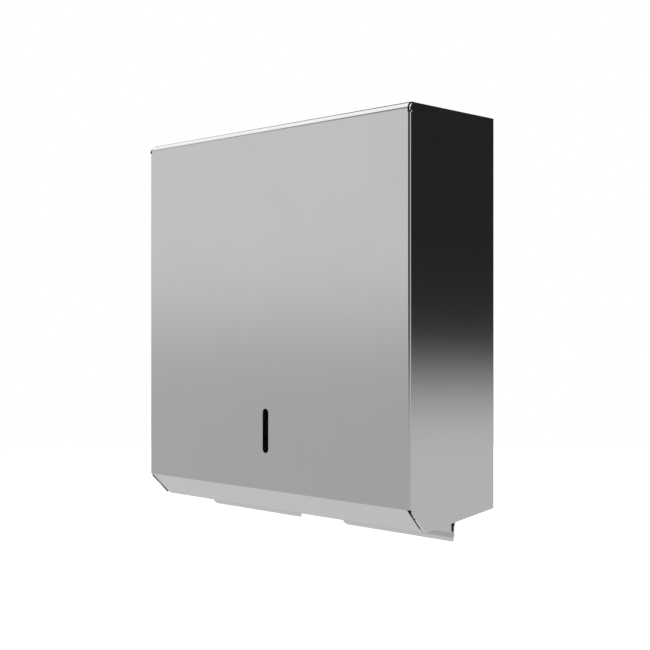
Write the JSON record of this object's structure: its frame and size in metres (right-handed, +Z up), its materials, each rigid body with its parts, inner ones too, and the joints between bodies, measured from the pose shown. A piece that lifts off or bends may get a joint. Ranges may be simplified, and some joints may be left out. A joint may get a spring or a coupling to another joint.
{
  "type": "paper towel dispenser",
  "caption": "Wall-hung satin steel dispenser for folded paper towels: a hinged folded cover with a sight slot, a key lock on top, and rounded exit lips under the towel slot.",
  "frame": {"origin": "middle of the four wall screw holes, on the back plate's rear face, which is the wall plane", "axes": "+Z up, +Y into the wall, so the front faces -Y, and +X to the right as seen from the wall"},
  "size_m": [0.29, 0.0945, 0.3111],
  "materials": {
    "stainless_sheet": "satin",
    "stainless_fittings": "mill",
    "zinc_plate": "zinc plated",
    "lock_chrome": "polished",
    "nylon": "natural nylon",
    "rubber": "moulded"
  },
  "bodies": {
    "housing": {"back_plate": "stainless_sheet", "bottom_tray": "stainless_sheet", "exit_lip_left": "stainless_sheet", "exit_lip_right": "stainless_sheet", "lock_strike": "stainless_fittings", "hinge_arm_left": "stainless_fittings", "hinge_arm_right": "stainless_fittings", "hinge_pin_left": "zinc_plate", "hinge_pin_right": "zinc_plate", "hinge_clip_left": "zinc_plate", "hinge_clip_right": "zinc_plate", "cover_buffers": "rubber"},
    "cover": {"front_cover": "stainless_sheet", "hinge_bracket_left": "stainless_fittings", "hinge_bracket_right": "stainless_fittings", "hinge_bush_left": "nylon", "hinge_bush_right": "nylon", "lock_barrel": "lock_chrome", "lock_washer": "zinc_plate", "lock_nut": "zinc_plate"},
    "lock": {"lock_plug": "lock_chrome", "lock_cam": "zinc_plate", "cam_washer": "zinc_plate", "cam_screw": "zinc_plate"}
  },
  "joints": [
    {"name": "cover_hinge", "type": "hinge", "parent": "housing", "child": "cover", "pos_m": [0, -0.0845, -0.1254], "axis": [1, 0, 0], "range_deg": [0, 90]},
    {"name": "lock_turn", "type": "hinge", "parent": "cover", "child": "lock", "pos_m": [0, -0.032, 0.15], "axis": [0, 0, -1], "range_deg": [0, 90]}
  ]
}
